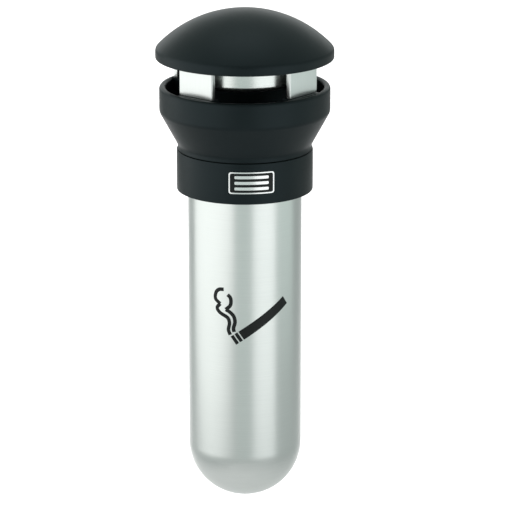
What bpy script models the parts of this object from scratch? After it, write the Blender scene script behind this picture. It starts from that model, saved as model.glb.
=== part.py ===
"""Wall-mounted ashtray bin: a domed head on four steel posts over a flared bowl and a steel canister.

The frame is in metres, +Z up. The wall's face is the plane y = 0, with the object in front of it on
the -Y side. The origin is the middle of the wall bracket's rear face.
"""

import bpy
from math import asin, atan2, cos, pi, radians, sin, sqrt, tan
from mathutils import Matrix, Vector

# Driving dimensions, in metres and degrees.
GAP = 0.0003
STEPS = 40
LOCK_STEPS = 24
SMALL_STEPS = 12

WALL_TO_AXIS = 0.090

COLLAR_RADIUS = 0.0597
COLLAR_TOP = 0.01755
COLLAR_BOTTOM = -0.01845
COLLAR_WALL = 0.0030
COLLAR_FLANGE_BORE = 0.0485
COLLAR_FLANGE_THICKNESS = 0.00315
COLLAR_EDGE = 0.0006

BOWL_RADIUS = 0.0747
BOWL_RIM_TOP = 0.07265
BOWL_WALL = 0.0060
BOWL_SHOULDER_Z = 0.0515
BOWL_SHOULDER_ROUND = 0.009
BOWL_CONE_ANGLE = 28.6
BOWL_WAIST_RADIUS = 0.0587
BOWL_COVE_ROUND = 0.008
BOWL_FLOOR_OUTER = (0.0553, 0.0286)
BOWL_FLOOR_INNER_Z = 0.0245
SPOUT_OUTER_RADIUS = 0.0480
SPOUT_INNER_RADIUS = 0.0455
SPOUT_BOTTOM = 0.0

CAP_APEX = 0.1407
CAP_DOME_RADIUS = 0.1062
CAP_RADIUS = 0.0779
CAP_RIM_BOTTOM = 0.0986
CAP_EDGE_ROUND = 0.0050
CAP_RIM_CHAMFER = 0.0006
CAP_WALL = 0.003
CAP_BOSS_RING = 0.020
CAP_BOSS_RADIUS = 0.005
CAP_BOSS_TOP = 0.1372
CAP_BOSS_AZIMUTHS = (60, 180, 300)

PLATE_BOTTOM = 0.1045
PLATE_THICKNESS = 0.004
PLATE_RADIUS = 0.0695

POST_AZIMUTHS = {"front_left": -45, "front_right": 45, "rear_left": -135, "rear_right": 135}
POST_OUTER_FACE = 0.066
POST_THICKNESS = 0.0047
POST_WIDTH = 0.037
POST_EDGE = 0.0012
POST_BOTTOM = 0.0742
LUG_DEPTH = 0.012
LUG_INNER_FACE = 0.057
LUG_OUTER_FACE = 0.0695
LUG_WIDTH = 0.036

DRUM_RADIUS = 0.054
DRUM_WALL = 0.0012
DRUM_BOTTOM = 0.0788
DRUM_CORNER = 0.005
DRUM_NUT_RADIUS = 0.0058
DRUM_NUT_THICKNESS = 0.005

CANISTER_RADIUS = 0.050
CANISTER_WALL = 0.001
CANISTER_TOP = 0.0085
CANISTER_DOME_CENTRE = -0.25105
RIM_RADIUS = 0.0535
RIM_THICKNESS = 0.0025
RIM_NOTCH_WIDTH = 0.014
GUIDE_RING_RADIUS = 0.0560
GUIDE_RING_BOTTOM = -0.0172
GUIDE_RING_HEIGHT = 0.0038

LOCK_AZIMUTH = 135
LOCK_HEIGHT = 0.001
LOCK_BOSS_RADIUS = 0.0105
LOCK_BOSS_FACE = 0.0620
LOCK_HEAD_RADIUS = 0.0085
LOCK_HEAD_THICKNESS = 0.0025
LOCK_BARREL_RADIUS = 0.006
LOCK_BARREL_END = 0.0536
LOCK_NUT_RADIUS = 0.0078
LOCK_NUT_OUTER_FACE = 0.0555
LOCK_NUT_THICKNESS = 0.0018
PLUG_RADIUS = 0.004
PLUG_END = 0.0535
KEYWAY = (0.0052, 0.0013, 0.002)
CAM_INNER_FACE = 0.0510
CAM_OUTER_FACE = 0.0532
CAM_HUB_RADIUS = 0.0055
CAM_LENGTH = 0.0125
CAM_WIDTH = 0.008
CAM_SCREW_RECESS = 0.001

BADGE_WIDTH = 0.0402
BADGE_HEIGHT = 0.0192
BADGE_MIDDLE = 0.0010
BADGE_THICKNESS = 0.0009
BADGE_CORNER = 0.0022
BADGE_AZIMUTH = 0.5

BRACKET_WIDTH = 0.070
BRACKET_HEIGHT = 0.100
BRACKET_THICKNESS = 0.003
BRACKET_CORNER = 0.006
BRACKET_HOLE_RADIUS = 0.0032
BRACKET_HOLE_X = 0.025
BRACKET_HOLE_Z = 0.038
ARM_WIDTH = 0.036
ARM_HEIGHT = 0.026
ARM_EDGE = 0.002
ARM_EMBED = 0.001
ARM_SCREW_HEIGHTS = (-0.007, 0.007)

# Screws as (head radius, head height, shank radius, length), and the holes for their shanks.
CAP_SCREW = (0.003, 0.002, 0.0016, 0.014)
POST_TOP_SCREW = (0.0024, 0.0018, 0.0013, 0.0125)
POST_BASE_SCREW = (0.0024, 0.0018, 0.0013, 0.0205)
BOWL_SCREW = (0.003, 0.002, 0.0016, 0.0077)
ARM_SCREW = (0.003, 0.0018, 0.002, 0.015)
CAM_SCREW = (0.003, 0.0009, 0.0015, 0.0050)
DRUM_BOLT = (0.006, 0.003, 0.003, 0.036)
M3_HOLE = 0.0019
POST_SCREW_HOLE = 0.0016
POST_HOLE_DEPTH = 0.010
ARM_SCREW_HOLE = 0.0023
CAM_SCREW_HOLE = 0.0018
DRUM_BOLT_HOLE = 0.0034
BOWL_SCREW_HOLE_DEPTH = 0.006
BOWL_SCREW_RING = 0.0525
BOWL_SCREW_AZIMUTHS = (0, 90, 180, 270)
DRILL_START = 0.001

BLACK = (0.016, 0.019, 0.020)
STEEL = (0.62, 0.63, 0.61)
ZINC = (0.52, 0.53, 0.54)
RUBBER = (0.02, 0.02, 0.02)


# Scene, materials and small helpers.

def clear_scene():
    for item in list(bpy.data.objects):
        bpy.data.objects.remove(item)


def new_collection(name):
    collection = bpy.data.collections.new(name)
    bpy.context.scene.collection.children.link(collection)
    return collection


def new_material(name, colour, roughness, metallic):
    material = bpy.data.materials.new(name)
    material.use_nodes = True
    shader = material.node_tree.nodes["Principled BSDF"]
    shader.inputs["Base Color"].default_value = (*colour, 1.0)
    shader.inputs["Roughness"].default_value = roughness
    shader.inputs["Metallic"].default_value = metallic
    return material


clear_scene()
PARTS = new_collection("ashtray_bin")
CUTTERS = new_collection("cutters")
MATERIALS = {
    "black_plastic": new_material("black_plastic", BLACK, 0.45, 0.0),
    "brushed_steel": new_material("brushed_steel", STEEL, 0.32, 1.0),
    "zinc": new_material("zinc", ZINC, 0.4, 1.0),
    "black_paint": new_material("black_paint", BLACK, 0.5, 0.0),
    "rubber": new_material("rubber", RUBBER, 0.8, 0.0),
}


def direction(azimuth):
    """Unit vector away from the axis; azimuth 0 is the front and +90 the viewer's right."""
    return Vector((sin(radians(azimuth)), -cos(radians(azimuth)), 0.0))


def polar(radius, azimuth, height=0.0):
    """Point at a radius from the bin's axis."""
    return Vector((0.0, -WALL_TO_AXIS, height)) + radius * direction(azimuth)


def arc(centre, radius, start, end, count):
    """Points of an arc in the (radius, height) plane; angles in degrees from +radius."""
    angles = [radians(start + (end - start) * i / count) for i in range(count + 1)]
    return [(centre[0] + radius * cos(a), centre[1] + radius * sin(a)) for a in angles]


def finish(item, material):
    """Put a part in the parts collection with its material and smooth round faces."""
    PARTS.objects.link(item)
    item.data.materials.append(MATERIALS[material])
    item.data.shade_smooth()
    item.data.set_sharp_from_angle(angle=radians(35))
    return item


def as_cutter(item):
    CUTTERS.objects.link(item)
    item.hide_render = True
    item.display_type = "WIRE"
    return item


def new_profile(name, points, closed):
    """An edge loop or polyline in the XZ plane."""
    mesh = bpy.data.meshes.new(name)
    edges = [(i, i + 1) for i in range(len(points) - 1)]
    if closed:
        edges.append((len(points) - 1, 0))
    mesh.from_pydata([(r, 0.0, z) for r, z in points], edges, [])
    return bpy.data.objects.new(name, mesh)


def turned(name, points, closed=True, steps=STEPS, location=(0.0, -WALL_TO_AXIS, 0.0)):
    """Solid of revolution about Z; the profile runs down its outer side."""
    item = new_profile(name, points, closed)
    item.location = location
    screw = item.modifiers.new("turn", "SCREW")
    screw.steps = steps
    screw.render_steps = steps
    screw.use_merge_vertices = True
    screw.merge_threshold = 0.00001
    screw.use_smooth_shade = True
    return item


def disc_profile(radius, top, bottom):
    """Profile of a plain disc or cylinder, from the axis at the top to the axis at the bottom."""
    return [(0.0, top), (radius, top), (radius, bottom), (0.0, bottom)]


def ring_profile(outer, inner, top, bottom):
    return [(outer, top), (outer, bottom), (inner, bottom), (inner, top)]


def screw_profile(head_radius, head_height, shank_radius, length):
    """Screw along Z: the head's underside is at z = 0, the head below it and the shank above."""
    chamfer = 0.25 * head_height
    return [
        (0.0, length),
        (shank_radius, length),
        (shank_radius, 0.0),
        (head_radius, 0.0),
        (head_radius, chamfer - head_height),
        (head_radius - chamfer, -head_height),
        (0.0, -head_height),
    ]


def box(name, size, centre, edge=0.0, edge_axis=None):
    """Box, with its edges (or only those along one axis) rounded by a Bevel modifier."""
    bpy.ops.mesh.primitive_cube_add(size=1.0, location=centre)
    item = bpy.context.object
    item.name = name
    item.data.name = name
    item.data.transform(Matrix.Diagonal((*size, 1.0)))
    for collection in list(item.users_collection):
        collection.objects.unlink(item)
    if edge:
        add_bevel(item, edge, edge_axis)
    return item


def add_bevel(item, width, edge_axis):
    bevel = item.modifiers.new("round_edges", "BEVEL")
    bevel.width = width
    bevel.segments = 3
    if edge_axis is None:
        return
    bevel.limit_method = "WEIGHT"
    weights = item.data.attributes.new("bevel_weight_edge", "FLOAT", "EDGE")
    for edge in item.data.edges:
        start, end = (item.data.vertices[i].co for i in edge.vertices)
        if abs((end - start).normalized()[edge_axis]) > 0.99:
            weights.data[edge.index].value = 1.0


def add_boolean(item, other, operation):
    boolean = item.modifiers.new(operation.lower(), "BOOLEAN")
    boolean.operation = operation
    boolean.object = other
    boolean.solver = "EXACT"


def cut(item, cutter):
    add_boolean(item, as_cutter(cutter), "DIFFERENCE")


def join(item, other):
    add_boolean(item, as_cutter(other), "UNION")


def point_along(item, axis):
    """Turn an item so that its own +Z lies along the axis."""
    item.rotation_mode = "QUATERNION"
    item.rotation_quaternion = Vector(axis).to_track_quat("Z", "Y")


def drill(item, start, axis, radius, depth):
    """Cut a round hole from a start point along an axis."""
    name = f"{item.name}_hole_{len(item.modifiers)}"
    hole = turned(name, disc_profile(radius, depth, 0.0), False, SMALL_STEPS, start)
    point_along(hole, axis)
    cut(item, hole)


def screw(name, place, axis, sizes):
    """Screw with the underside of its head at a place and its shank along an axis."""
    item = turned(name, screw_profile(*sizes), False, SMALL_STEPS, place)
    point_along(item, axis)
    finish(item, "zinc")


def screws(name, places, axis, sizes):
    """Numbered screws, one for each place."""
    for number, place in enumerate(places, start=1):
        screw(f"{name}_{number}", place, axis, sizes)


# The head: cap, plate, posts, drum and bowl.

def dome_height(radius, dome_radius=CAP_DOME_RADIUS):
    """Height of the dome (or of one parallel to it) at a distance from the axis."""
    return CAP_APEX - CAP_DOME_RADIUS + sqrt(dome_radius**2 - radius**2)


def make_cap():
    centre_z = CAP_APEX - CAP_DOME_RADIUS
    round_r = CAP_RADIUS - CAP_EDGE_ROUND
    reach = CAP_DOME_RADIUS - CAP_EDGE_ROUND
    round_z = centre_z + sqrt(reach**2 - round_r**2)
    meet = atan2(round_z - centre_z, round_r) * 180 / pi
    inner_dome = CAP_DOME_RADIUS - CAP_WALL
    inner_r = CAP_RADIUS - CAP_WALL
    inner_end = atan2(dome_height(inner_r, inner_dome) - centre_z, inner_r) * 180 / pi
    outer = arc((0.0, centre_z), CAP_DOME_RADIUS, 90, meet, 9)
    outer += arc((round_r, round_z), CAP_EDGE_ROUND, meet, 0, 3)[1:]
    rim = [
        (CAP_RADIUS, CAP_RIM_BOTTOM + CAP_RIM_CHAMFER),
        (CAP_RADIUS - CAP_RIM_CHAMFER, CAP_RIM_BOTTOM),
        (inner_r, CAP_RIM_BOTTOM),
    ]
    inner = arc((0.0, centre_z), inner_dome, inner_end, 90, 8)
    points = [(abs(r), z) for r, z in outer + rim + inner]
    cap = finish(turned("rain_cap", points, closed=False), "black_plastic")
    for azimuth in CAP_BOSS_AZIMUTHS:
        foot = polar(CAP_BOSS_RING, azimuth)
        profile = disc_profile(CAP_BOSS_RADIUS, CAP_BOSS_TOP, PLATE_BOTTOM + PLATE_THICKNESS + GAP)
        join(cap, turned(f"cap_boss_{azimuth}", profile, False, SMALL_STEPS, foot))
    depth = CAP_SCREW[3] + 2 * DRILL_START
    for azimuth in CAP_BOSS_AZIMUTHS:
        drill(cap, polar(CAP_BOSS_RING, azimuth, PLATE_BOTTOM), (0, 0, 1), M3_HOLE, depth)


def make_cap_plate():
    profile = ring_profile(PLATE_RADIUS, DRUM_BOLT_HOLE, PLATE_BOTTOM + PLATE_THICKNESS, PLATE_BOTTOM)
    plate = finish(turned("cap_plate", profile), "black_plastic")
    below = PLATE_BOTTOM - PLATE_THICKNESS
    through = 3 * PLATE_THICKNESS
    for azimuth in CAP_BOSS_AZIMUTHS:
        drill(plate, polar(CAP_BOSS_RING, azimuth, below), (0, 0, 1), M3_HOLE, through)
    for place in post_places(below):
        drill(plate, place, (0, 0, 1), POST_SCREW_HOLE, through)


def post_places(height):
    """The middle of each post at a height."""
    return [polar(POST_OUTER_FACE - POST_THICKNESS / 2, a, height) for a in POST_AZIMUTHS.values()]


def make_posts():
    top = PLATE_BOTTOM - GAP
    for place, azimuth in POST_AZIMUTHS.items():
        size = (POST_WIDTH, POST_THICKNESS, top - POST_BOTTOM)
        centre = polar(POST_OUTER_FACE - POST_THICKNESS / 2, azimuth, (top + POST_BOTTOM) / 2)
        post = box(f"post_{place}", size, centre, POST_EDGE, edge_axis=2)
        post.rotation_euler.z = radians(azimuth)
        finish(post, "brushed_steel")
        for end, inwards in ((POST_BOTTOM - DRILL_START, 1), (top + DRILL_START, -1)):
            start = (centre.x, centre.y, end)
            drill(post, start, (0, 0, inwards), POST_SCREW_HOLE, POST_HOLE_DEPTH + DRILL_START)


def make_head_screws():
    plate_top = PLATE_BOTTOM + PLATE_THICKNESS
    bosses = [polar(CAP_BOSS_RING, a, PLATE_BOTTOM - GAP) for a in CAP_BOSS_AZIMUTHS]
    screws("cap_screw", bosses, (0, 0, 1), CAP_SCREW)
    screws("post_top_screw", post_places(plate_top + GAP), (0, 0, -1), POST_TOP_SCREW)
    lug_bottom = POST_BOTTOM - GAP - LUG_DEPTH
    screws("post_base_screw", post_places(lug_bottom - GAP), (0, 0, 1), POST_BASE_SCREW)


def make_drum():
    corner = (DRUM_RADIUS - DRUM_CORNER, DRUM_BOTTOM + DRUM_CORNER)
    top = PLATE_BOTTOM - GAP
    outer = [(DRUM_RADIUS, top)] + arc(corner, DRUM_CORNER, 0, -90, 3)
    inner = arc(corner, DRUM_CORNER - DRUM_WALL, -90, 0, 3) + [(DRUM_RADIUS - DRUM_WALL, top)]
    hole = [(DRUM_BOLT_HOLE, DRUM_BOTTOM), (DRUM_BOLT_HOLE, DRUM_BOTTOM + DRUM_WALL)]
    finish(turned("snuffer_drum", outer + hole + inner), "brushed_steel")
    head = polar(0.0, 0, DRUM_BOTTOM - GAP)
    screw("drum_bolt", head, (0, 0, 1), DRUM_BOLT)
    nut_bottom = PLATE_BOTTOM + PLATE_THICKNESS + GAP
    profile = disc_profile(DRUM_NUT_RADIUS, nut_bottom + DRUM_NUT_THICKNESS, nut_bottom)
    nut = finish(turned("drum_nut", profile, False, 6), "zinc")
    through = DRUM_NUT_THICKNESS + 2 * DRILL_START
    drill(nut, polar(0.0, 0, nut_bottom - DRILL_START), (0, 0, 1), DRUM_BOLT_HOLE, through)


def bowl_profile():
    """The bowl's section: round lip, straight wall, cone, cove at the waist, foot and spout."""
    angle = radians(BOWL_CONE_ANGLE)
    lip_round = BOWL_WALL / 2
    lip = arc((BOWL_RADIUS - lip_round, BOWL_RIM_TOP - lip_round), lip_round, 90, 0, 3)
    turn_z = BOWL_SHOULDER_Z + BOWL_SHOULDER_ROUND * tan(angle / 2)
    shoulder_centre = (BOWL_RADIUS - BOWL_SHOULDER_ROUND, turn_z)
    shoulder = arc(shoulder_centre, BOWL_SHOULDER_ROUND, 0, -BOWL_CONE_ANGLE, 3)
    cove_r = BOWL_WAIST_RADIUS + BOWL_COVE_ROUND
    cone_end_r = cove_r - BOWL_COVE_ROUND * cos(angle)
    cone_end_z = BOWL_SHOULDER_Z - (BOWL_RADIUS - cone_end_r) / tan(angle)
    cove_z = cone_end_z - BOWL_COVE_ROUND * sin(angle)
    foot = COLLAR_TOP + GAP
    cove_end = 180 + asin((cove_z - foot) / BOWL_COVE_ROUND) * 180 / pi
    cove = arc((cove_r, cove_z), BOWL_COVE_ROUND, 180 - BOWL_CONE_ANGLE, cove_end, 4)
    spout = [
        (SPOUT_OUTER_RADIUS, foot),
        (SPOUT_OUTER_RADIUS, SPOUT_BOTTOM),
        (SPOUT_INNER_RADIUS, SPOUT_BOTTOM),
        (SPOUT_INNER_RADIUS, BOWL_FLOOR_INNER_Z),
    ]
    wall_r = BOWL_RADIUS - BOWL_WALL
    wall_bottom = BOWL_FLOOR_OUTER[1] + (wall_r - BOWL_FLOOR_OUTER[0]) / tan(angle)
    inner = [BOWL_FLOOR_OUTER, (wall_r, wall_bottom)]
    inner_lip = arc((wall_r + lip_round, BOWL_RIM_TOP - lip_round), lip_round, 180, 90, 3)[:-1]
    return lip + shoulder + cove + spout + inner + inner_lip


def make_bowl():
    bowl = finish(turned("bowl", bowl_profile()), "black_plastic")
    lug_top = POST_BOTTOM - GAP
    for azimuth in POST_AZIMUTHS.values():
        size = (LUG_WIDTH, LUG_OUTER_FACE - LUG_INNER_FACE, LUG_DEPTH)
        centre = polar((LUG_OUTER_FACE + LUG_INNER_FACE) / 2, azimuth, lug_top - LUG_DEPTH / 2)
        lug = box(f"post_lug_{azimuth}", size, centre)
        lug.rotation_euler.z = radians(azimuth)
        join(bowl, lug)
    for place in post_places(lug_top - 1.5 * LUG_DEPTH):
        drill(bowl, place, (0, 0, 1), POST_SCREW_HOLE, 2 * LUG_DEPTH)
    for place in bowl_screw_places(COLLAR_TOP - DRILL_START):
        drill(bowl, place, (0, 0, 1), M3_HOLE, BOWL_SCREW_HOLE_DEPTH)
    heads = bowl_screw_places(COLLAR_TOP - COLLAR_FLANGE_THICKNESS - GAP)
    screws("bowl_screw", heads, (0, 0, 1), BOWL_SCREW)


def bowl_screw_places(height):
    return [polar(BOWL_SCREW_RING, azimuth, height) for azimuth in BOWL_SCREW_AZIMUTHS]


# The collar with its lock and badge.

def make_collar():
    inner_r = COLLAR_RADIUS - COLLAR_WALL
    flange_bottom = COLLAR_TOP - COLLAR_FLANGE_THICKNESS
    profile = [
        (COLLAR_RADIUS - COLLAR_EDGE, COLLAR_TOP),
        (COLLAR_RADIUS, COLLAR_TOP - COLLAR_EDGE),
        (COLLAR_RADIUS, COLLAR_BOTTOM + COLLAR_EDGE),
        (COLLAR_RADIUS - COLLAR_EDGE, COLLAR_BOTTOM),
        (inner_r, COLLAR_BOTTOM),
        (inner_r, flange_bottom),
        (COLLAR_FLANGE_BORE, flange_bottom),
        (COLLAR_FLANGE_BORE, COLLAR_TOP),
    ]
    collar = finish(turned("collar", profile), "black_plastic")
    boss = disc_profile(LOCK_BOSS_RADIUS, LOCK_BOSS_FACE, COLLAR_RADIUS - COLLAR_WALL / 2)
    lock_boss = turned("lock_boss", boss, False, LOCK_STEPS, polar(0.0, 0, LOCK_HEIGHT))
    point_along(lock_boss, direction(LOCK_AZIMUTH))
    join(collar, lock_boss)
    outwards = direction(LOCK_AZIMUTH)
    inside = polar(COLLAR_RADIUS - 3 * COLLAR_WALL, LOCK_AZIMUTH, LOCK_HEIGHT)
    drill(collar, inside, outwards, LOCK_BARREL_RADIUS + GAP, 6 * COLLAR_WALL)
    for place in bowl_screw_places(flange_bottom - COLLAR_FLANGE_THICKNESS):
        drill(collar, place, (0, 0, 1), M3_HOLE, 3 * COLLAR_FLANGE_THICKNESS)
    for height in ARM_SCREW_HEIGHTS:
        inside = polar(COLLAR_RADIUS - 2 * COLLAR_WALL, 180, height)
        drill(collar, inside, (0, 1, 0), ARM_SCREW_HOLE, 3 * COLLAR_WALL)


def radial(name, points, closed, steps):
    """A turned piece of the lock: the profile's height is the distance from the bin's axis."""
    item = turned(name, points, closed, steps, polar(0.0, 0, LOCK_HEIGHT))
    point_along(item, direction(LOCK_AZIMUTH))
    return item


def make_lock():
    face = LOCK_BOSS_FACE + GAP + LOCK_HEAD_THICKNESS
    bore = PLUG_RADIUS + GAP
    body = [
        (LOCK_HEAD_RADIUS - COLLAR_EDGE, face),
        (LOCK_HEAD_RADIUS, face - COLLAR_EDGE),
        (LOCK_HEAD_RADIUS, LOCK_BOSS_FACE + GAP),
        (LOCK_BARREL_RADIUS, LOCK_BOSS_FACE + GAP),
        (LOCK_BARREL_RADIUS, LOCK_BARREL_END),
        (bore, LOCK_BARREL_END),
        (bore, face),
    ]
    finish(radial("lock_body", body, True, LOCK_STEPS), "zinc")
    nut_inner = LOCK_NUT_OUTER_FACE - LOCK_NUT_THICKNESS
    nut = ring_profile(LOCK_NUT_RADIUS, LOCK_BARREL_RADIUS + GAP, LOCK_NUT_OUTER_FACE, nut_inner)
    finish(radial("lock_nut", nut, True, LOCK_STEPS), "zinc")

    plug_profile = disc_profile(PLUG_RADIUS, face, PLUG_END)
    plug = finish(radial("lock_plug", plug_profile, False, LOCK_STEPS), "zinc")
    length, width, depth = KEYWAY
    keyway = box("keyway", (width, 2 * depth, length), polar(face, LOCK_AZIMUTH, LOCK_HEIGHT))
    keyway.rotation_euler.z = radians(LOCK_AZIMUTH)
    cut(plug, keyway)
    inner_end = polar(PLUG_END - DRILL_START, LOCK_AZIMUTH, LOCK_HEIGHT)
    drill(plug, inner_end, direction(LOCK_AZIMUTH), CAM_SCREW_HOLE, CAM_SCREW[3] + DRILL_START)


def make_cam():
    """The cam's tongue hangs down from its hub, clear of the canister's rim, when unlocked."""
    hub = disc_profile(CAM_HUB_RADIUS, CAM_OUTER_FACE, CAM_INNER_FACE)
    cam = finish(radial("lock_cam", hub, False, LOCK_STEPS), "zinc")
    thickness = CAM_OUTER_FACE - CAM_INNER_FACE
    middle = polar((CAM_OUTER_FACE + CAM_INNER_FACE) / 2, LOCK_AZIMUTH, LOCK_HEIGHT - CAM_LENGTH / 2)
    tongue = box("cam_tongue", (CAM_WIDTH, thickness, CAM_LENGTH), middle)
    tongue.rotation_euler.z = radians(LOCK_AZIMUTH)
    join(cam, tongue)
    outwards = direction(LOCK_AZIMUTH)
    inside = polar(CAM_INNER_FACE - DRILL_START, LOCK_AZIMUTH, LOCK_HEIGHT)
    drill(cam, inside, outwards, CAM_SCREW[0] + GAP, CAM_SCREW_RECESS + DRILL_START + GAP)
    drill(cam, inside, outwards, CAM_SCREW_HOLE, CAM_SCREW[3])
    head = polar(CAM_INNER_FACE + CAM_SCREW_RECESS, LOCK_AZIMUTH, LOCK_HEIGHT)
    screw("cam_screw", head, outwards, CAM_SCREW)


def make_badge():
    inner = COLLAR_RADIUS + GAP
    badge = turned("badge", ring_profile(inner + BADGE_THICKNESS, inner, BADGE_HEIGHT, -BADGE_HEIGHT))
    size = (BADGE_WIDTH, COLLAR_RADIUS, BADGE_HEIGHT)
    place = polar(COLLAR_RADIUS, BADGE_AZIMUTH, BADGE_MIDDLE)
    window = box("badge_outline", size, place, BADGE_CORNER, edge_axis=1)
    finish(badge, "brushed_steel")
    add_boolean(badge, as_cutter(window), "INTERSECT")


# The canister, which drops out of the collar to be emptied.

def make_canister():
    outer_centre = (0.0, CANISTER_DOME_CENTRE)
    inner_radius = CANISTER_RADIUS - CANISTER_WALL
    inner = arc(outer_centre, inner_radius, -90, 0, 8)
    outer = arc(outer_centre, CANISTER_RADIUS, 0, -90, 9)
    top = [(inner_radius, CANISTER_TOP), (CANISTER_RADIUS, CANISTER_TOP)]
    points = [(abs(r), z) for r, z in inner + top + outer]
    finish(turned("canister", points, closed=False), "brushed_steel")

    bore = CANISTER_RADIUS + GAP
    rim = turned("canister_rim", ring_profile(RIM_RADIUS, bore, CANISTER_TOP, CANISTER_TOP - RIM_THICKNESS))
    finish(rim, "brushed_steel")
    notch_size = (RIM_NOTCH_WIDTH, 4 * RIM_THICKNESS, 4 * RIM_THICKNESS)
    notch = box("rim_notch", notch_size, polar(RIM_RADIUS, LOCK_AZIMUTH, CANISTER_TOP))
    notch.rotation_euler.z = radians(LOCK_AZIMUTH)
    cut(rim, notch)

    ring_top = GUIDE_RING_BOTTOM + GUIDE_RING_HEIGHT
    ring = ring_profile(GUIDE_RING_RADIUS, bore, ring_top, GUIDE_RING_BOTTOM)
    finish(turned("guide_ring", ring), "rubber")


# The wall bracket.

def make_bracket():
    size = (BRACKET_WIDTH, BRACKET_THICKNESS, BRACKET_HEIGHT)
    centre = (0.0, -BRACKET_THICKNESS / 2, 0.0)
    bracket = finish(box("wall_bracket", size, centre, BRACKET_CORNER, edge_axis=1), "black_paint")
    reach = WALL_TO_AXIS - COLLAR_RADIUS / 2
    arm_size = (ARM_WIDTH, reach, ARM_HEIGHT)
    join(bracket, box("bracket_arm", arm_size, (0.0, -reach / 2 - ARM_EMBED, 0.0), ARM_EDGE, 1))
    cut(bracket, turned("saddle", disc_profile(COLLAR_RADIUS + GAP, ARM_HEIGHT, -ARM_HEIGHT), False))
    for x in (-BRACKET_HOLE_X, BRACKET_HOLE_X):
        for z in (-BRACKET_HOLE_Z, BRACKET_HOLE_Z):
            start = (x, -2 * BRACKET_THICKNESS, z)
            drill(bracket, start, (0, 1, 0), BRACKET_HOLE_RADIUS, 4 * BRACKET_THICKNESS)
    inside = COLLAR_RADIUS - COLLAR_WALL - GAP
    for height in ARM_SCREW_HEIGHTS:
        drill(bracket, polar(inside, 180, height), (0, 1, 0), ARM_SCREW_HOLE, ARM_SCREW[3] + DRILL_START)
    heads = [polar(inside, 180, height) for height in ARM_SCREW_HEIGHTS]
    screws("bracket_screw", heads, (0, 1, 0), ARM_SCREW)


make_cap()
make_cap_plate()
make_posts()
make_head_screws()
make_drum()
make_bowl()
make_collar()
make_lock()
make_cam()
make_badge()
make_canister()
make_bracket()
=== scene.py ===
"""Looks of the wall-mounted ashtray bin: fine turned skins, brushed steel, satin black and a pictogram."""

from math import acos, asin, atan2, cos, degrees, pi, radians, sin, sqrt, tan

import bpy
import bmesh
from mathutils import Matrix, Vector


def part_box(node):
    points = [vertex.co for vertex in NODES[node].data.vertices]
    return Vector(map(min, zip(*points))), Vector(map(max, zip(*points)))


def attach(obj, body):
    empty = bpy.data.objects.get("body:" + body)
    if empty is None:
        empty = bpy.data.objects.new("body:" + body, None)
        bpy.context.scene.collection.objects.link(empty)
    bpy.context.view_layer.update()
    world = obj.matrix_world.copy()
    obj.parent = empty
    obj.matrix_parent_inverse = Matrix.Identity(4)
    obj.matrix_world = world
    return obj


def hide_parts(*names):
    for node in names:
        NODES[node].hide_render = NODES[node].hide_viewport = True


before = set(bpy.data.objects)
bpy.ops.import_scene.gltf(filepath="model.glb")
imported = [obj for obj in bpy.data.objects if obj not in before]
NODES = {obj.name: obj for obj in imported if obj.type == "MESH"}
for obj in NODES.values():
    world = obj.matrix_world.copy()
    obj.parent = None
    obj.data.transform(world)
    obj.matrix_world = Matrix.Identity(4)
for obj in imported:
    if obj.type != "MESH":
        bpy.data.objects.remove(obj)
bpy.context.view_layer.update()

# Places read from the frame, in metres.
TUBE_LOW, TUBE_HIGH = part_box("canister")
BOWL_LOW, BOWL_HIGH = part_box("bowl")
CAP_LOW, CAP_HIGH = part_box("rain_cap")
COLLAR_LOW, COLLAR_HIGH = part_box("collar")
DRUM_LOW, DRUM_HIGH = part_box("snuffer_drum")

AXIS_Y = (TUBE_LOW[1] + TUBE_HIGH[1]) / 2
TUBE_RADIUS = (TUBE_HIGH[0] - TUBE_LOW[0]) / 2
BOWL_RADIUS = (BOWL_HIGH[0] - BOWL_LOW[0]) / 2
CAP_RADIUS = (CAP_HIGH[0] - CAP_LOW[0]) / 2
DRUM_RADIUS = (DRUM_HIGH[0] - DRUM_LOW[0]) / 2
COLLAR_TOP = COLLAR_HIGH[2]
COLLAR_BOTTOM = COLLAR_LOW[2]

# Design values repeated from the CAD, in metres and degrees.
GAP = 0.0003  # clearance between neighbouring pieces
COLLAR_RADIUS = 0.0597
COLLAR_WALL = 0.0030
BADGE_WIDTH = 0.0402
BADGE_CORNER = 0.0022
BADGE_AZIMUTH = 0.5
LOCK_AZIMUTH = 135
LOCK_HEIGHT = 0.001
LOCK_BOSS_RADIUS = 0.0105
LOCK_BOSS_FACE = 0.0620
POST_AZIMUTHS = {"front_left": -45, "front_right": 45, "rear_left": -135, "rear_right": 135}
POST_OUTER_FACE = 0.066
POST_THICKNESS = 0.0047
POST_WIDTH = 0.037

# Camera: the view is a little above and to the left of the front, through a long lens.
CAMERA_AZIMUTH = -5.3
CAMERA_PITCH = 15.9
CAMERA_DISTANCE = 3.0
CAMERA_LENS = 239.8
CAMERA_AIM_HEIGHT = -0.08025
CAMERA_AIM_RIGHT = 0.0089

# Steps of a full turn.
FINE_STEPS = 160
LOCK_STEPS = 64
HOLE_STEPS = 48


# Geometry helpers.

def direction(azimuth):
    """Unit vector away from the bin's axis; azimuth 0 is the front and +90 the viewer's right."""
    return Vector((sin(radians(azimuth)), -cos(radians(azimuth)), 0.0))


def polar(radius, azimuth, height=0.0):
    return Vector((0.0, AXIS_Y, height)) + radius * direction(azimuth)


def arc(centre, radius, start, end, count):
    """Points of an arc in the (radius, height) plane; angles in degrees from +radius."""
    angles = [radians(start + (end - start) * i / count) for i in range(count + 1)]
    return [(centre[0] + radius * cos(a), centre[1] + radius * sin(a)) for a in angles]


def cylinder(radius, high, low):
    """Profile of a plain cylinder about the turning axis, down its outer side."""
    return [(0.0, high), (radius, high), (radius, low), (0.0, low)]


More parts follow.
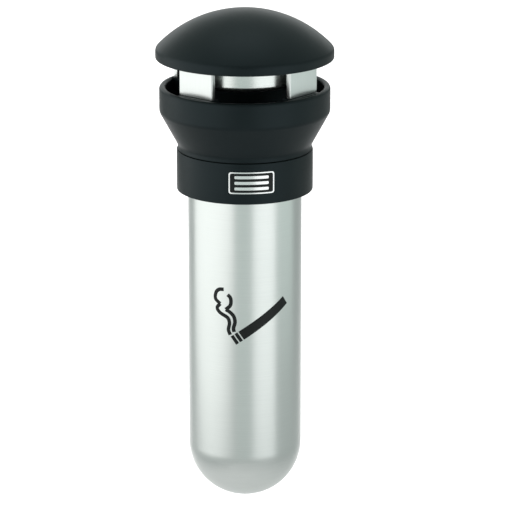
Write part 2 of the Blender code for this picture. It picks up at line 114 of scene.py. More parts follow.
def link(item, material, body, stands_for=None):
    """Put a new piece in the scene with its material and body, and hide the CAD node it stands for."""
    bpy.context.scene.collection.objects.link(item)
    item.data.materials.append(material)
    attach(item, body)
    if stands_for:
        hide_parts(stands_for)
    return item


def shade(mesh, angle=32):
    mesh.shade_smooth()
    mesh.set_sharp_from_angle(angle=radians(angle))


def turned_mesh(name, points, closed, steps=FINE_STEPS):
    """Mesh of a profile turned about the bin's axis; the profile runs down its outer side."""
    profile = bpy.data.meshes.new(f"{name}_profile")
    edges = [(i, i + 1) for i in range(len(points) - 1)]
    if closed:
        edges.append((len(points) - 1, 0))
    profile.from_pydata([(r, 0.0, z) for r, z in points], edges, [])
    template = bpy.data.objects.new(f"{name}_template", profile)
    bpy.context.scene.collection.objects.link(template)
    screw = template.modifiers.new("turn", "SCREW")
    screw.steps = steps
    screw.render_steps = steps
    screw.use_merge_vertices = True
    screw.merge_threshold = 0.00001
    evaluated = template.evaluated_get(bpy.context.evaluated_depsgraph_get())
    mesh = bpy.data.meshes.new_from_object(evaluated)
    bpy.data.objects.remove(template)
    mesh.name = name
    mesh.transform(Matrix.Translation((0.0, AXIS_Y, 0.0)))
    shade(mesh)
    return mesh


def turned(name, points, material, body, stands_for, closed=True):
    item = bpy.data.objects.new(name, turned_mesh(name, points, closed))
    return link(item, material, body, stands_for)


# Node-based materials.

HEAD_SPECULAR = 0.24
HEAD_SHEEN = (0.70, 0.92, 1.0, 1.0)
INK_SPECULAR = 0.22
STEEL_COLOUR = (0.665, 0.69, 0.675)
POST_COLOUR = (0.70, 0.72, 0.71)
BADGE_COLOUR = (0.78, 0.79, 0.79)


class Shader:
    """A Principled material with short calls for its nodes."""

    def __init__(self, name, roughness, metallic=0.0, colour=None):
        self.material = bpy.data.materials.new(name)
        self.material.use_nodes = True
        self.tree = self.material.node_tree
        self.bsdf = self.tree.nodes["Principled BSDF"]
        self.bsdf.inputs["Roughness"].default_value = roughness
        self.bsdf.inputs["Metallic"].default_value = metallic
        if colour:
            self.bsdf.inputs["Base Color"].default_value = (*colour, 1.0)
        self.place = self.tree.nodes.new("ShaderNodeTexCoord").outputs["Object"]

    def node(self, kind, **inputs):
        node = self.tree.nodes.new(kind)
        for key, value in inputs.items():
            socket = node.inputs[key.replace("_", " ")]
            if isinstance(value, bpy.types.NodeSocket):
                self.tree.links.new(value, socket)
            else:
                socket.default_value = value
        return node

    def stretched(self, scale):
        """Object coordinates stretched by a scale on each axis."""
        mapping = self.node("ShaderNodeMapping", Vector=self.place, Scale=scale)
        return mapping.outputs["Vector"]

    def noise(self, scale, detail=3.0, roughness=0.5, place=None):
        noise = self.node(
            "ShaderNodeTexNoise",
            Vector=place or self.place,
            Scale=scale,
            Detail=detail,
            Roughness=roughness,
        )
        return noise.outputs["Fac"]

    def ramp(self, factor, stops):
        """Colour ramp; each stop is (position, colour or grey)."""
        node = self.node("ShaderNodeValToRGB", Fac=factor)
        elements = node.color_ramp.elements
        while len(elements) < len(stops):
            elements.new(0.5)
        for element, (position, colour) in zip(elements, stops):
            element.position = position
            grey = (colour, colour, colour) if isinstance(colour, float) else colour
            element.color = (*grey, 1.0)
        return node.outputs["Color"]

    def range(self, factor, low, high):
        """A 0 to 1 factor spread between two values."""
        node = self.node("ShaderNodeMapRange", Value=factor, To_Min=low, To_Max=high)
        return node.outputs["Result"]

    def feed(self, socket, value):
        if isinstance(value, bpy.types.NodeSocket):
            self.tree.links.new(value, socket)
        elif isinstance(value, tuple):
            socket.default_value = (*value, 1.0)
        else:
            socket.default_value = value

    def math(self, operation, first, second):
        node = self.tree.nodes.new("ShaderNodeMath")
        node.operation = operation
        self.feed(node.inputs[0], first)
        self.feed(node.inputs[1], second)
        return node.outputs["Value"]

    def set(self, name, value):
        self.feed(self.bsdf.inputs[name], value)

    def bump(self, height, distance, strength=1.0):
        node = self.node("ShaderNodeBump", Height=height, Distance=distance, Strength=strength)
        self.tree.links.new(node.outputs["Normal"], self.bsdf.inputs["Normal"])


def satin_plastic(name, colour, roughness):
    """Moulded satin plastic: fine spark-eroded grain, faint tone drift and a little settled dust."""
    shader = Shader(name, roughness)
    drift = shader.noise(9.0, 4.0)
    light = tuple(channel * 1.35 for channel in colour)
    shader.set("Base Color", shader.ramp(drift, [(0.3, colour), (0.75, light)]))
    patches = shader.noise(40.0, 5.0, 0.6)
    shader.set("Roughness", shader.range(patches, roughness - 0.05, roughness + 0.06))
    grain = shader.noise(2600.0, 2.0, 0.6)
    shader.bump(grain, 0.00003, 0.35)
    shader.bsdf.inputs["Specular IOR Level"].default_value = HEAD_SPECULAR
    shader.bsdf.inputs["Specular Tint"].default_value = HEAD_SHEEN
    return shader.material


def brushed_steel(name, stretch, roughness, colour=STEEL_COLOUR):
    """Brushed stainless steel; stretch is the noise scale on each axis, smallest along the grain."""
    shader = Shader(name, roughness, 1.0)
    streaks = shader.noise(1.0, 5.0, 0.65, shader.stretched(stretch))
    smudges = shader.noise(14.0, 4.0, 0.55)
    dark = tuple(channel * 0.93 for channel in colour)
    grain_tone = shader.ramp(streaks, [(0.35, dark), (0.65, colour)])
    shader.set("Base Color", grain_tone)
    rough_grain = shader.range(streaks, roughness - 0.04, roughness + 0.05)
    rough_smudge = shader.range(smudges, -0.03, 0.03)
    shader.set("Roughness", shader.math("ADD", rough_grain, rough_smudge))
    shader.bump(streaks, 0.00002, 0.25)
    return shader.material


def zinc_plate():
    """Zinc-plated steel with a fine crystalline mottle."""
    shader = Shader("zinc_plate", 0.4, 1.0)
    mottle = shader.noise(380.0, 4.0, 0.6)
    dark, light = (0.40, 0.41, 0.43), (0.60, 0.61, 0.62)
    shader.set("Base Color", shader.ramp(mottle, [(0.3, dark), (0.7, light)]))
    shader.set("Roughness", shader.range(mottle, 0.32, 0.48))
    shader.bump(mottle, 0.00002, 0.3)
    return shader.material


def powder_coat():
    """Black powder coat with orange peel."""
    shader = Shader("powder_coat", 0.5)
    drift = shader.noise(12.0, 3.0)
    dark, light = (0.016, 0.017, 0.018), (0.024, 0.025, 0.026)
    shader.set("Base Color", shader.ramp(drift, [(0.3, dark), (0.7, light)]))
    peel = shader.noise(700.0, 2.0)
    shader.bump(peel, 0.00012, 0.4)
    shader.set("Roughness", shader.range(peel, 0.42, 0.58))
    return shader.material


def rubber():
    """Matt black rubber."""
    shader = Shader("black_rubber", 0.8)
    drift = shader.noise(60.0, 4.0)
    shader.set("Base Color", shader.ramp(drift, [(0.3, 0.013), (0.7, 0.026)]))
    shader.set("Roughness", shader.range(drift, 0.72, 0.88))
    shader.bump(drift, 0.00005, 0.4)
    return shader.material


def printed_ink():
    """Black printing ink, a little worn."""
    shader = Shader("printed_ink", 0.40)
    wear = shader.noise(900.0, 3.0, 0.7)
    dark, light = (0.003, 0.0045, 0.0045), (0.007, 0.009, 0.009)
    shader.set("Base Color", shader.ramp(wear, [(0.35, dark), (0.7, light)]))
    shader.set("Roughness", shader.range(wear, 0.34, 0.46))
    shader.bsdf.inputs["Specular IOR Level"].default_value = INK_SPECULAR
    return shader.material


HEAD_BLACK = (0.0030, 0.0048, 0.0052)
ROUND_GRAIN = (25.0, 25.0, 5200.0)
UPRIGHT_GRAIN = (5200.0, 5200.0, 60.0)

MATERIAL = {
    "head": satin_plastic("satin_black_plastic", HEAD_BLACK, 0.42),
    "tube": brushed_steel("brushed_tube_steel", ROUND_GRAIN, 0.30),
    "drum": brushed_steel("brushed_drum_steel", ROUND_GRAIN, 0.26),
    "post": brushed_steel("brushed_post_steel", UPRIGHT_GRAIN, 0.34, POST_COLOUR),
    "badge": brushed_steel("badge_steel", ROUND_GRAIN, 0.24, BADGE_COLOUR),
    "zinc": zinc_plate(),
    "paint": powder_coat(),
    "rubber": rubber(),
    "ink": printed_ink(),
}


# Fine turned skins over the CAD pieces.

def make_cap_skin():
    """Dome with a rolled edge, a short rim band and a thin underside."""
    dome_radius = 0.1062
    edge_round = 0.0050
    wall = 0.003
    apex = CAP_HIGH[2]
    bottom = CAP_LOW[2]
    centre_z = apex - dome_radius
    round_r = CAP_RADIUS - edge_round
    round_z = centre_z + sqrt((dome_radius - edge_round) ** 2 - round_r**2)
    meet = degrees(atan2(round_z - centre_z, round_r))
    inner_r = CAP_RADIUS - wall
    inner_dome = dome_radius - wall
    inner_end = degrees(acos(inner_r / inner_dome))
    lip = 0.0009
    points = arc((0.0, centre_z), dome_radius, 90, meet, 40)
    points += arc((round_r, round_z), edge_round, meet, 0, 8)[1:]
    points += arc((CAP_RADIUS - lip, bottom + lip), lip, 0, -90, 4)
    points += arc((inner_r + lip / 2, bottom + lip / 2), lip / 2, -90, -180, 3)
    points += arc((0.0, centre_z), inner_dome, inner_end, 90, 30)
    points = [(max(r, 0.0), z) for r, z in points]
    turned("rain_cap_skin", points, MATERIAL["head"], "housing", "rain_cap", closed=False)


def make_bowl_skin():
    """Round lip, straight wall, soft shoulder, cone, cove, foot, and the spout inside."""
    angle = 28.6
    slope = radians(angle)
    wall = 0.006
    lip_round = wall / 2
    shoulder_round = 0.009
    shoulder_z = 0.0515
    waist = 0.0587
    cove_round = 0.008
    top = BOWL_HIGH[2]
    foot = COLLAR_TOP + GAP
    edge = 0.0005
    turn_z = shoulder_z + shoulder_round * tan(slope / 2)
    cove_r = waist + cove_round
    cone_end_r = cove_r - cove_round * cos(slope)
    cone_end_z = shoulder_z - (BOWL_RADIUS - cone_end_r) / tan(slope)
    cove_z = cone_end_z - cove_round * sin(slope)
    cove_end = 180 + degrees(asin((cove_z - foot - edge) / cove_round))
    spout_outer = 0.0480
    spout_inner = 0.0455
    spout_bottom = BOWL_LOW[2]
    spout_top = 0.0247
    ease_across, ease_down = 0.0007, 0.0009
    floor_r, floor_z = 0.0553, 0.0286
    inner_r = BOWL_RADIUS - wall
    inner_bottom = floor_z + (inner_r - floor_r) / tan(slope)
    points = arc((BOWL_RADIUS - lip_round, top - lip_round), lip_round, 90, 0, 10)
    points += arc((BOWL_RADIUS - shoulder_round, turn_z), shoulder_round, 0, -angle, 10)
    points += arc((cove_r, cove_z), cove_round, 180 - angle, cove_end, 12)
    points += arc((points[-1][0] - edge, foot + edge), edge, 0, -90, 3)
    points += [
        (spout_outer, foot),
        (spout_outer, spout_bottom + edge),
        (spout_outer - edge, spout_bottom),
        (spout_inner + edge, spout_bottom),
        (spout_inner, spout_bottom + edge),
        (spout_inner, spout_top - ease_down),
        (spout_inner + ease_across, spout_top),
        (floor_r, floor_z),
        (inner_r, inner_bottom),
    ]
    points += arc((inner_r + lip_round, top - lip_round), lip_round, 180, 90, 10)[:-1]
    bowl = bpy.data.objects.new("bowl_skin", turned_mesh("bowl_skin", points, True))
    reshape(bowl, [(lug, "UNION") for lug in post_lugs()])
    link(bowl, MATERIAL["head"], "housing", "bowl")


def post_lugs():
    """Blocks inside the bowl's rim that the posts stand on."""
    inner, outer = 0.057, 0.0695
    width, depth = 0.036, 0.012
    corner, edge = 0.0006, 0.0004
    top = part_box("post_front_left")[0][2] - GAP
    lugs = []
    for place, azimuth in POST_AZIMUTHS.items():
        middle = polar((inner + outer) / 2, azimuth, top - depth / 2)
        turn = Matrix.Translation(middle) @ Matrix.Rotation(radians(azimuth), 4, "Z")
        lugs.append(rounded_box(f"post_lug_{place}", (width, outer - inner, depth), turn, corner, edge))
    return lugs


def make_tube_skin():
    """The canister: a thin tube with a hemispherical bottom and a slightly eased mouth."""
    wall = 0.001
    mouth_ease, bore_ease = 0.0003, 0.0002
    top = TUBE_HIGH[2]
    centre = (0.0, TUBE_LOW[2] + TUBE_RADIUS)
    inner = TUBE_RADIUS - wall
    points = arc(centre, inner, -90, 0, 24)
    points += [(inner, top - bore_ease), (inner + mouth_ease, top)]
    points += [(TUBE_RADIUS - mouth_ease, top), (TUBE_RADIUS, top - mouth_ease)]
    points += arc(centre, TUBE_RADIUS, 0, -90, 32)
    points = [(max(r, 0.0), z) for r, z in points]
    turned("canister_skin", points, MATERIAL["tube"], "canister", "canister", closed=False)


def make_drum_skin():
    """The drum: open at the top, with a round lower corner and a bolt hole in its floor."""
    wall = 0.0012
    corner_round = 0.005
    corner = (DRUM_RADIUS - corner_round, DRUM_LOW[2] + corner_round)
    hole = 0.0034
    points = [(DRUM_RADIUS, DRUM_HIGH[2])]
    points += arc(corner, corner_round, 0, -90, 12)
    points += [(hole, DRUM_LOW[2]), (hole, DRUM_LOW[2] + wall)]
    points += arc(corner, corner_round - wall, -90, 0, 10)
    points += [(DRUM_RADIUS - wall, DRUM_HIGH[2])]
    turned("snuffer_drum_skin", points, MATERIAL["drum"], "housing", "snuffer_drum")


def make_collar_skin():
    """The collar, with its flat boss for the lock at the rear right."""
    inner = COLLAR_RADIUS - COLLAR_WALL
    flange_thickness = 0.00315
    flange_bottom = COLLAR_TOP - flange_thickness
    bore = 0.0485
    edge = 0.0006
    boss_edge = 0.0004
    boss_root = inner + 0.0015
    hole_radius, hole_outer, hole_inner = 0.0063, 0.070, 0.050
    points = arc((COLLAR_RADIUS - edge, COLLAR_TOP - edge), edge, 90, 0, 5)
    points += arc((COLLAR_RADIUS - edge, COLLAR_BOTTOM + edge), edge, 0, -90, 5)
    points += arc((inner + edge, COLLAR_BOTTOM + edge), edge, -90, -180, 3)
    points += [(inner, flange_bottom), (bore, flange_bottom), (bore, COLLAR_TOP)]
    boss = [
        (0.0, LOCK_BOSS_FACE),
        (LOCK_BOSS_RADIUS - boss_edge, LOCK_BOSS_FACE),
        (LOCK_BOSS_RADIUS, LOCK_BOSS_FACE - boss_edge),
        (LOCK_BOSS_RADIUS, boss_root),
        (0.0, boss_root),
    ]
    hole = cylinder(hole_radius, hole_outer, hole_inner)
    collar = bpy.data.objects.new("collar_skin", turned_mesh("collar_skin", points, True))
    reshape(collar, [
        (on_lock_axis("lock_boss", boss, False), "UNION"),
        (on_lock_axis("lock_hole", hole, False), "DIFFERENCE"),
    ])
    link(collar, MATERIAL["head"], "housing", "collar")


def on_lock_axis(name, points, closed):
    """A turned helper object whose axis is the lock's; heights are distances from the bin's axis."""
    mesh = turned_mesh(name, points, closed, LOCK_STEPS)
    lay = direction(LOCK_AZIMUTH).to_track_quat("Z", "Y").to_matrix().to_4x4()
    centre = Vector((0.0, AXIS_Y, 0.0))
    lift = Matrix.Translation(centre + Vector((0.0, 0.0, LOCK_HEIGHT)))
    mesh.transform(lift @ lay @ Matrix.Translation(-centre))
    return bpy.data.objects.new(name, mesh)


def reshape(item, changes):
    """Join a piece with helper objects, or cut it by them, in order; a change is (helper, operation)."""
    bpy.context.scene.collection.objects.link(item)
    for tool, operation in changes:
        combine(item, tool, operation)
    bpy.context.scene.collection.objects.unlink(item)
    shade(item.data)


def combine(item, tool, operation):
    """Apply a Boolean of a helper object, which is then removed."""
    bpy.context.scene.collection.objects.link(tool)
    boolean = item.modifiers.new(operation.lower(), "BOOLEAN")
    boolean.operation = operation
    boolean.object = tool
    apply_modifiers(item)
    bpy.data.objects.remove(tool)


def apply_modifiers(item):
    """Swap a piece's mesh for the one its modifiers make."""
    evaluated = item.evaluated_get(bpy.context.evaluated_depsgraph_get())
    mesh = bpy.data.meshes.new_from_object(evaluated)
    mesh.name = item.name
    item.modifiers.clear()
    item.data = mesh


def rounded_box(name, size, transform, upright, edge):
    """Box whose upright edges are rounded more than the rest."""
    mesh = bmesh.new()
    bmesh.ops.create_cube(mesh, size=1.0, matrix=Matrix.Diagonal((*size, 1.0)))
    standing = [e for e in mesh.edges if abs(e.verts[0].co.z - e.verts[1].co.z) > size[2] / 2]
    bmesh.ops.bevel(mesh, geom=standing, offset=upright, segments=6, affect="EDGES", profile=0.5)
    lying = [e for e in mesh.edges if abs(e.calc_face_angle(0.0)) > radians(60)]
    bmesh.ops.bevel(mesh, geom=lying, offset=edge, segments=3, affect="EDGES", profile=0.5)
    data = bpy.data.meshes.new(name)
    mesh.to_mesh(data)
    mesh.free()
    data.transform(transform)
    shade(data)
    return bpy.data.objects.new(name, data)


def make_post_skins():
    """Flat bar posts with rounded upright edges and eased ends."""
    corner, edge = 0.0012, 0.0002
    for place, azimuth in POST_AZIMUTHS.items():
        low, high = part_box(f"post_{place}")
        size = (POST_WIDTH, POST_THICKNESS, high[2] - low[2])
        middle = polar(POST_OUTER_FACE - POST_THICKNESS / 2, azimuth, (low[2] + high[2]) / 2)
        transform = Matrix.Translation(middle) @ Matrix.Rotation(radians(azimuth), 4, "Z")
        post = rounded_box(f"post_{place}_skin", size, transform, corner, edge)
        link(post, MATERIAL["post"], "housing", f"post_{place}")


def curved_plate(name, width, low, high, corner, inner, outer, material):
    """A rounded rectangle bent round the collar, from an inner to an outer radius."""
    bend_steps, flat_steps = 8, 28
    reach = width / 2 - corner
    bend = [corner * sin(pi / 2 * i / bend_steps) for i in range(1, bend_steps + 1)]
    middle = [-reach + 2 * reach * i / flat_steps for i in range(flat_steps + 1)]
    mesh = bmesh.new()
    columns = []
    for across in [-reach - b for b in reversed(bend)] + middle + [reach + b for b in bend]:
        past = max(abs(across) - reach, 0.0)
        drop = corner - sqrt(max(corner**2 - past**2, 0.0))
        azimuth = BADGE_AZIMUTH + degrees(across / outer)
        ends = ((outer, low + drop), (outer, high - drop), (inner, high - drop), (inner, low + drop))
        columns.append([mesh.verts.new(polar(r, azimuth, z)) for r, z in ends])
    for near, far in zip(columns, columns[1:]):
        for i in range(4):
            mesh.faces.new((near[i], far[i], far[(i + 1) % 4], near[(i + 1) % 4]))
    mesh.faces.new(columns[0])
    mesh.faces.new(list(reversed(columns[-1])))
    bmesh.ops.recalc_face_normals(mesh, faces=mesh.faces)
    data = bpy.data.meshes.new(name)
    mesh.to_mesh(data)
    mesh.free()
    shade(data)
    return link(bpy.data.objects.new(name, data), material, "housing")


def make_badge_skin():
    """A plain steel plate that carries a thin black field and three even bars, each a little prouder."""
    thickness = 0.0009
    inner = COLLAR_RADIUS + GAP
    outer = inner + thickness
    plate_face, field_face = outer - 0.0001, outer - 0.00006
    field_back, bar_back = inner + 0.0002, inner + 0.0003
    low, high = (corner[2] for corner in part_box("badge"))
    rim = 0.0011
    size = (BADGE_WIDTH, low, high, BADGE_CORNER)
    plate = curved_plate("badge_plate", *size, inner, plate_face, MATERIAL["badge"])
    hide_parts("badge")
    field = (BADGE_WIDTH - 2 * rim, low + rim, high - rim, BADGE_CORNER - rim / 2)
    curved_plate("badge_field", *field, field_back, field_face, MATERIAL["ink"])
    bar_width, bar_height, bar_corner = 0.0300, 0.0026, 0.0009
    bars_in_field = 3.4
    spacing = (high - low - 2 * rim) / bars_in_field
    for number in (-1, 0, 1):
        middle = (low + high) / 2 + number * spacing
        bar = (bar_width, middle - bar_height / 2, middle + bar_height / 2, bar_corner)
        curved_plate(f"badge_bar_{number + 2}", *bar, bar_back, outer, MATERIAL["badge"])


def make_lock_skins():
    """The lock's head, rounded at its face, and its plug with a keyway."""
    head_height = 0.0028
    face = LOCK_BOSS_FACE + head_height
    seat = LOCK_BOSS_FACE + GAP
    head, head_round = 0.0085, 0.0012
    barrel, barrel_end = 0.006, 0.0536
    bore = 0.0043
    body = arc((head - head_round, face - head_round), head_round, 90, 0, 5)
    body += [(head, seat), (barrel, seat), (barrel, barrel_end), (bore, barrel_end), (bore, face)]
    item = on_lock_axis("lock_body_skin", body, True)
    link(item, MATERIAL["zinc"], "housing", "lock_body")

    plug_radius, plug_ease, plug_end = 0.0040, 0.0003, 0.0535
    points = [(0.0, face), (plug_radius - plug_ease, face), (plug_radius, face - plug_ease)]
    points += [(plug_radius, plug_end), (0.0, plug_end)]
    plug = on_lock_axis("lock_plug_skin", points, False)
    keyway_size, keyway_corner, keyway_edge = (0.0052, 0.004, 0.0013), 0.0004, 0.0002
    turn = at_lock(polar(face, LOCK_AZIMUTH, LOCK_HEIGHT))
    keyway = rounded_box("keyway", keyway_size, turn, keyway_corner, keyway_edge)
    reshape(plug, [(keyway, "DIFFERENCE")])
    link(plug, MATERIAL["zinc"], "lock", "lock_plug")


def at_lock(place):
    """A transform to a place, with the piece's own X turned to lie across the lock's direction."""
    return Matrix.Translation(place) @ Matrix.Rotation(radians(LOCK_AZIMUTH), 4, "Z")


def make_guide_ring_skin():
    """The rubber guide ring with two soft ribs."""
    low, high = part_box("guide_ring")
    outer = (high[0] - low[0]) / 2
    inner = TUBE_RADIUS + GAP
    rib = (high[2] - low[2]) / 4
    points = []
    for number in range(2):
        centre_z = high[2] - rib * (2 * number + 1)
        points += arc((outer - rib, centre_z), rib, 90, -90, 8)
    points += [(inner, low[2]), (inner, high[2])]
    turned("guide_ring_skin", points, MATERIAL["rubber"], "canister", "guide_ring")


def make_rim_skin():
    """The canister's rolled rim with a notch for the lock."""
    low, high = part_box("canister_rim")
    outer = (high[0] - low[0]) / 2
    inner = TUBE_RADIUS + GAP
    roll = (high[2] - low[2]) / 2
    points = arc((outer - roll, high[2] - roll), roll, 90, -90, 12)
    points += [(inner, low[2]), (inner, high[2])]
    rim = bpy.data.objects.new("canister_rim_skin", turned_mesh("canister_rim_skin", points, True))
    notch_size, notch_corner, notch_edge = (0.014, 0.010, 0.010), 0.0005, 0.0002
    turn = at_lock(polar(outer, LOCK_AZIMUTH, high[2]))
    notch = rounded_box("rim_notch", notch_size, turn, notch_corner, notch_edge)
    reshape(rim, [(notch, "DIFFERENCE")])
    link(rim, MATERIAL["tube"], "canister", "canister_rim")


def make_bracket_skin():
    """Wall plate with four fixing holes, and an arm hollowed to the collar's curve."""
    low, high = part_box("wall_bracket")
    thickness, plate_corner, plate_edge = 0.003, 0.006, 0.0005
    arm_width, arm_height, arm_corner, arm_edge = 0.036, 0.026, 0.002, 0.0002
    arm_set_in = 0.001
    fixing_radius, fixing_across, fixing_up = 0.0032, 0.025, 0.038
    screw_radius, screw_reach, screw_up, screw_set_in = 0.0023, 0.017, 0.007, 0.001
    plate_size = (high[0] - low[0], high[2] - low[2], thickness)
    plate = rounded_box(
        "wall_bracket_skin", plate_size, crosswise(-thickness / 2), plate_corner, plate_edge
    )
    reach = -AXIS_Y - COLLAR_RADIUS / 2
    arm_size = (arm_width, arm_height, reach)
    arm = rounded_box("bracket_arm", arm_size, crosswise(-reach / 2 - arm_set_in), arm_corner, arm_edge)
    saddle = cylinder(COLLAR_RADIUS + GAP, arm_height, -arm_height)
    saddle_cutter = bpy.data.objects.new("saddle", turned_mesh("saddle", saddle, False))
    changes = [(arm, "UNION"), (saddle_cutter, "DIFFERENCE")]
    for x in (-fixing_across, fixing_across):
        for z in (-fixing_up, fixing_up):
            changes.append((hole_through(fixing_radius, 2 * thickness, (x, 0.0, z)), "DIFFERENCE"))
    screw_y = AXIS_Y + COLLAR_RADIUS - screw_set_in
    for z in (-screw_up, screw_up):
        changes.append((hole_through(screw_radius, screw_reach, (0.0, screw_y, z)), "DIFFERENCE"))
    reshape(plate, changes)
    link(plate, MATERIAL["paint"], "housing", "wall_bracket")


def crosswise(y, x=0.0, z=0.0):
    """A transform that lays a piece's own Z along the line from the wall to the bin."""
    return Matrix.Translation((x, y, z)) @ Matrix.Rotation(pi / 2, 4, "X")


def hole_through(radius, reach, place):
    """A round helper along Y, reaching the same distance either side of a place."""
    mesh = turned_mesh("hole", cylinder(radius, reach, -reach), False, HOLE_STEPS)
    mesh.transform(crosswise(place[1], place[0], place[2]) @ Matrix.Translation((0.0, -AXIS_Y, 0.0)))
    return bpy.data.objects.new("hole", mesh)


# The pictogram: strokes in millimetres on the unrolled tube, (to the viewer's right, up) from the
# front of the bin at the collar's mid-height. The two ends and the smoke points are traced numbers,
# adjusted by hand, and don't follow from a rule: report.md tells more, under "Rules not kept".
CIGARETTE_START = (-7.8, -139.4)
CIGARETTE_END = (34.2, -110.6)
CIGARETTE_WIDTH = 8.8
BAND_LENGTH = 3.1
BAND_GAP = 1.1
SMOKE_WIDTH = 3.3
INK_LIFT = 0.00006
LEFT_SMOKE = [
    [(-17.4, -139.0), (-19.1, -134.5), (-18.2, -128.4), (-20.0, -123.5), (-27.0, -119.6), (-29.8, -115.5),
     (-26.7, -111.5)],
    [(-26.7, -111.5), (-31.4, -107.5), (-31.0, -102.0), (-28.0, -98.7), (-23.4, -98.1)],
]
RIGHT_SMOKE = [
    [(-14.0, -136.2), (-14.6, -132.8), (-13.2, -127.0), (-14.5, -121.8), (-18.0, -118.2), (-21.7, -116.3)],
    [(-21.7, -116.3), (-17.6, -112.5), (-16.8, -108.0), (-17.6, -104.8), (-19.9, -102.7)],
]


def smooth_path(points, per_span=6):
    """Catmull-Rom curve through 2D points."""
    ends = [points[0]] + points + [points[-1]]
    path = []
    for i in range(len(points) - 1):
        a, b, c, d = (Vector(p) for p in ends[i:i + 4])
        for step in range(per_span):
            t = step / per_span
            path.append(0.5 * (2 * b + (c - a) * t + (2 * a - 5 * b + 4 * c - d) * t**2
                               + (3 * b - a - 3 * c + d) * t**3))
    path.append(Vector(points[-1]))
    return path


def ribbon(mesh, path, width):
    """Add a thin closed strip along a 2D path, bent round the tube and just proud of its surface."""
    across = (-0.5, -0.25, 0.0, 0.25, 0.5)
    rows = []
    for i, point in enumerate(path):
        ahead = path[min(i + 1, len(path) - 1)] - path[max(i - 1, 0)]
        side = Vector((-ahead.y, ahead.x)).normalized() * width
        row = [mesh.verts.new(on_tube(point + side * offset, INK_LIFT)) for offset in across]
        row += [mesh.verts.new(on_tube(point + side * offset, 0.0)) for offset in reversed(across)]
        rows.append(row)
    for near, far in zip(rows, rows[1:]):
        for i in range(len(near)):
            after = (i + 1) % len(near)
            mesh.faces.new((near[i], near[after], far[after], far[i]))
    mesh.faces.new(rows[0])
    mesh.faces.new(list(reversed(rows[-1])))


def on_tube(flat, lift):
    """A point of the unrolled tube, in millimetres, put at a height above the tube's surface."""
    return polar(TUBE_RADIUS + lift, degrees(flat.x / 1000 / TUBE_RADIUS), flat.y / 1000)


def straight(start, end, count=16):
    return [start.lerp(end, i / count) for i in range(count + 1)]


def make_pictogram():
    """A cigarette with two bands at its lit end and two curls of smoke."""
    mesh = bmesh.new()
    start = Vector(CIGARETTE_START)
    end = Vector(CIGARETTE_END)
    along = (end - start).normalized()
    ribbon(mesh, straight(start, end), CIGARETTE_WIDTH)
    for number in (1, 2):
        far = start - along * (number * BAND_GAP + (number - 1) * BAND_LENGTH)
        ribbon(mesh, straight(far - along * BAND_LENGTH, far, 2), CIGARETTE_WIDTH)
    for strokes in (LEFT_SMOKE, RIGHT_SMOKE):
        for points in strokes:
            ribbon(mesh, smooth_path(points), SMOKE_WIDTH)
    bmesh.ops.recalc_face_normals(mesh, faces=mesh.faces)
    data = bpy.data.meshes.new("pictogram")
    mesh.to_mesh(data)
    mesh.free()
    shade(data)
    item = bpy.data.objects.new("pictogram", data)
    link(item, MATERIAL["ink"], "canister")


def dress_cad_nodes():
    """Black plastic on the cap plate and zinc on every other CAD node; those with a skin don't show."""
    for name, item in NODES.items():
        item.data.materials.clear()
        item.data.materials.append(MATERIAL["head" if name == "cap_plate" else "zinc"])


# Floor, lights and camera.

BIN_MIDDLE = Vector((0.0, AXIS_Y, -0.06))
FLOOR_HEIGHT = -1.6
FLOOR_SIZE = 60.0
FLOOR_COLOUR = (0.88, 0.84, 0.85)
CLIP_END = 50.0
FILL_COLOUR = (0.86, 1.0, 0.95)
WORLD_FRONT = 0.14
WORLD_REAR = 0.40
WORLD_OVERHEAD = 0.25
WORLD_COLOUR = (0.87, 1.0, 0.96, 1.0)
REARWARD_REACH = (-0.95, 0.15)
OVERHEAD_REACH = (0.25, 0.70)
WHITE = (1.0, 1.0, 1.0)

FLOOR_LIGHT_PLACE = Vector((0.2, 6.0, FLOOR_HEIGHT + 1.1))
FLOOR_LIGHT_SIZE = (3.4, 7.5)
FLOOR_LIGHT_BRIGHTNESS = 1.75

# Each softbox round the bin: name; azimuth, elevation and distance; width and height; brightness; colour.
SOFTBOXES = [
    ("left_softbox", (-76, 8, 1.6), (4.1, 2.2), 1.12, (1.0, 0.995, 0.985)),
    ("right_softbox", (35.0, 4, 1.7), (1.60, 2.0), 1.05, (0.99, 1.0, 1.0)),
    ("right_fill", (84, 0, 1.7), (1.40, 1.2), 0.46, FILL_COLOUR),
    ("front_fill", (-8, -12, 1.7), (0.9, 0.8), 0.37, FILL_COLOUR),
    ("top_softbox", (180, 84, 1.5), (0.9, 0.9), 0.75, WHITE),
    ("rear_glow", (180, 16, 2.2), (2.6, 0.9), 1.0, WHITE),
]


def make_floor():
    bpy.ops.mesh.primitive_plane_add(size=FLOOR_SIZE, location=(0.0, 0.0, FLOOR_HEIGHT))
    floor = bpy.context.object
    floor.name = "studio_floor"
    shader = Shader("pale_floor", 0.9, colour=FLOOR_COLOUR)
    floor.data.materials.append(shader.material)


def around(azimuth, elevation, distance):
    """A place at a distance from the bin's middle, in a direction round it."""
    flat = direction(azimuth) * cos(radians(elevation))
    return BIN_MIDDLE + distance * (flat + Vector((0.0, 0.0, sin(radians(elevation)))))


def softbox(name, place, aim, size, brightness, colour=WHITE):
    """Area light of an even brightness, from a place towards an aim."""
    data = bpy.data.lights.new(name, "AREA")
    data.shape = "RECTANGLE"
    data.size, data.size_y = size
    data.energy = brightness * pi * size[0] * size[1]
    data.color = colour
    item = bpy.data.objects.new(name, data)
    item.location = place
    item.rotation_mode = "QUATERNION"
    item.rotation_quaternion = (place - aim).to_track_quat("Z", "Y")
    bpy.context.scene.collection.objects.link(item)


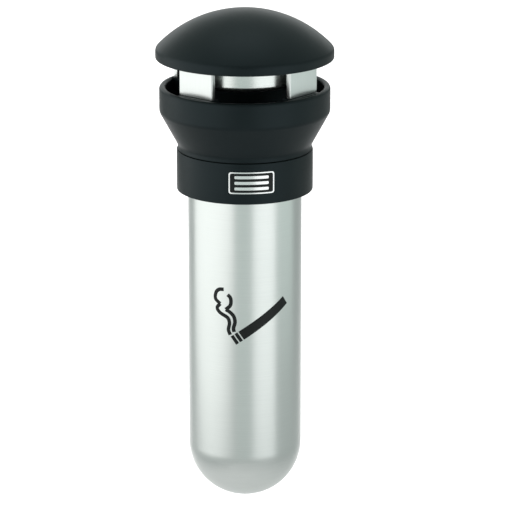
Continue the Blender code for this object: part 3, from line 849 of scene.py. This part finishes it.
def make_lights():
    """The softboxes round the bin, and one behind it that lights the floor from above."""
    for name, place, size, brightness, colour in SOFTBOXES:
        softbox(name, around(*place), BIN_MIDDLE, size, brightness, colour)
    below = FLOOR_LIGHT_PLACE - Vector((0.0, 0.0, 1.0))
    softbox("floor_softbox", FLOOR_LIGHT_PLACE, below, FLOOR_LIGHT_SIZE, FLOOR_LIGHT_BRIGHTNESS)


def make_world():
    """Even studio surroundings: dim in front of the bin, brighter behind it and overhead."""
    world = bpy.data.worlds.new("studio")
    world.use_nodes = True
    tree = world.node_tree
    split = tree.nodes.new("ShaderNodeSeparateXYZ")
    tree.links.new(tree.nodes.new("ShaderNodeTexCoord").outputs["Generated"], split.inputs["Vector"])
    rearward = world_ramp(tree, split.outputs["Y"], REARWARD_REACH, (WORLD_FRONT, WORLD_REAR))
    overhead = world_ramp(tree, split.outputs["Z"], OVERHEAD_REACH, (0.0, WORLD_OVERHEAD))
    total = tree.nodes.new("ShaderNodeMath")
    tree.links.new(rearward, total.inputs[0])
    tree.links.new(overhead, total.inputs[1])
    background = tree.nodes["Background"]
    tree.links.new(total.outputs["Value"], background.inputs["Strength"])
    background.inputs["Color"].default_value = WORLD_COLOUR
    bpy.context.scene.world = world


def world_ramp(tree, value, reach, strengths):
    """A smooth change of strength over a range of the direction's Y or Z."""
    ramp = tree.nodes.new("ShaderNodeMapRange")
    ramp.interpolation_type = "SMOOTHSTEP"
    ramp.inputs["From Min"].default_value, ramp.inputs["From Max"].default_value = reach
    ramp.inputs["To Min"].default_value, ramp.inputs["To Max"].default_value = strengths
    tree.links.new(value, ramp.inputs["Value"])
    return ramp.outputs["Result"]


def make_camera():
    azimuth = radians(CAMERA_AZIMUTH)
    pitch = radians(CAMERA_PITCH)
    backwards = Vector((sin(azimuth) * cos(pitch), -cos(azimuth) * cos(pitch), sin(pitch)))
    rotation = backwards.to_track_quat("Z", "Y")
    right = rotation @ Vector((1.0, 0.0, 0.0))
    data = bpy.data.cameras.new("camera")
    data.lens = CAMERA_LENS
    data.clip_end = CLIP_END
    camera = bpy.data.objects.new("camera", data)
    camera.rotation_mode = "QUATERNION"
    camera.rotation_quaternion = rotation
    aim = Vector((0.0, AXIS_Y, CAMERA_AIM_HEIGHT)) + right * CAMERA_AIM_RIGHT
    camera.location = aim + backwards * CAMERA_DISTANCE
    bpy.context.scene.collection.objects.link(camera)
    bpy.context.scene.camera = camera


bpy.context.scene.view_settings.view_transform = "Standard"
make_camera()
make_floor()
make_lights()
make_world()
dress_cad_nodes()
make_cap_skin()
make_bowl_skin()
make_tube_skin()
make_drum_skin()
make_collar_skin()
make_post_skins()
make_badge_skin()
make_lock_skins()
make_guide_ring_skin()
make_rim_skin()
make_bracket_skin()
make_pictogram()
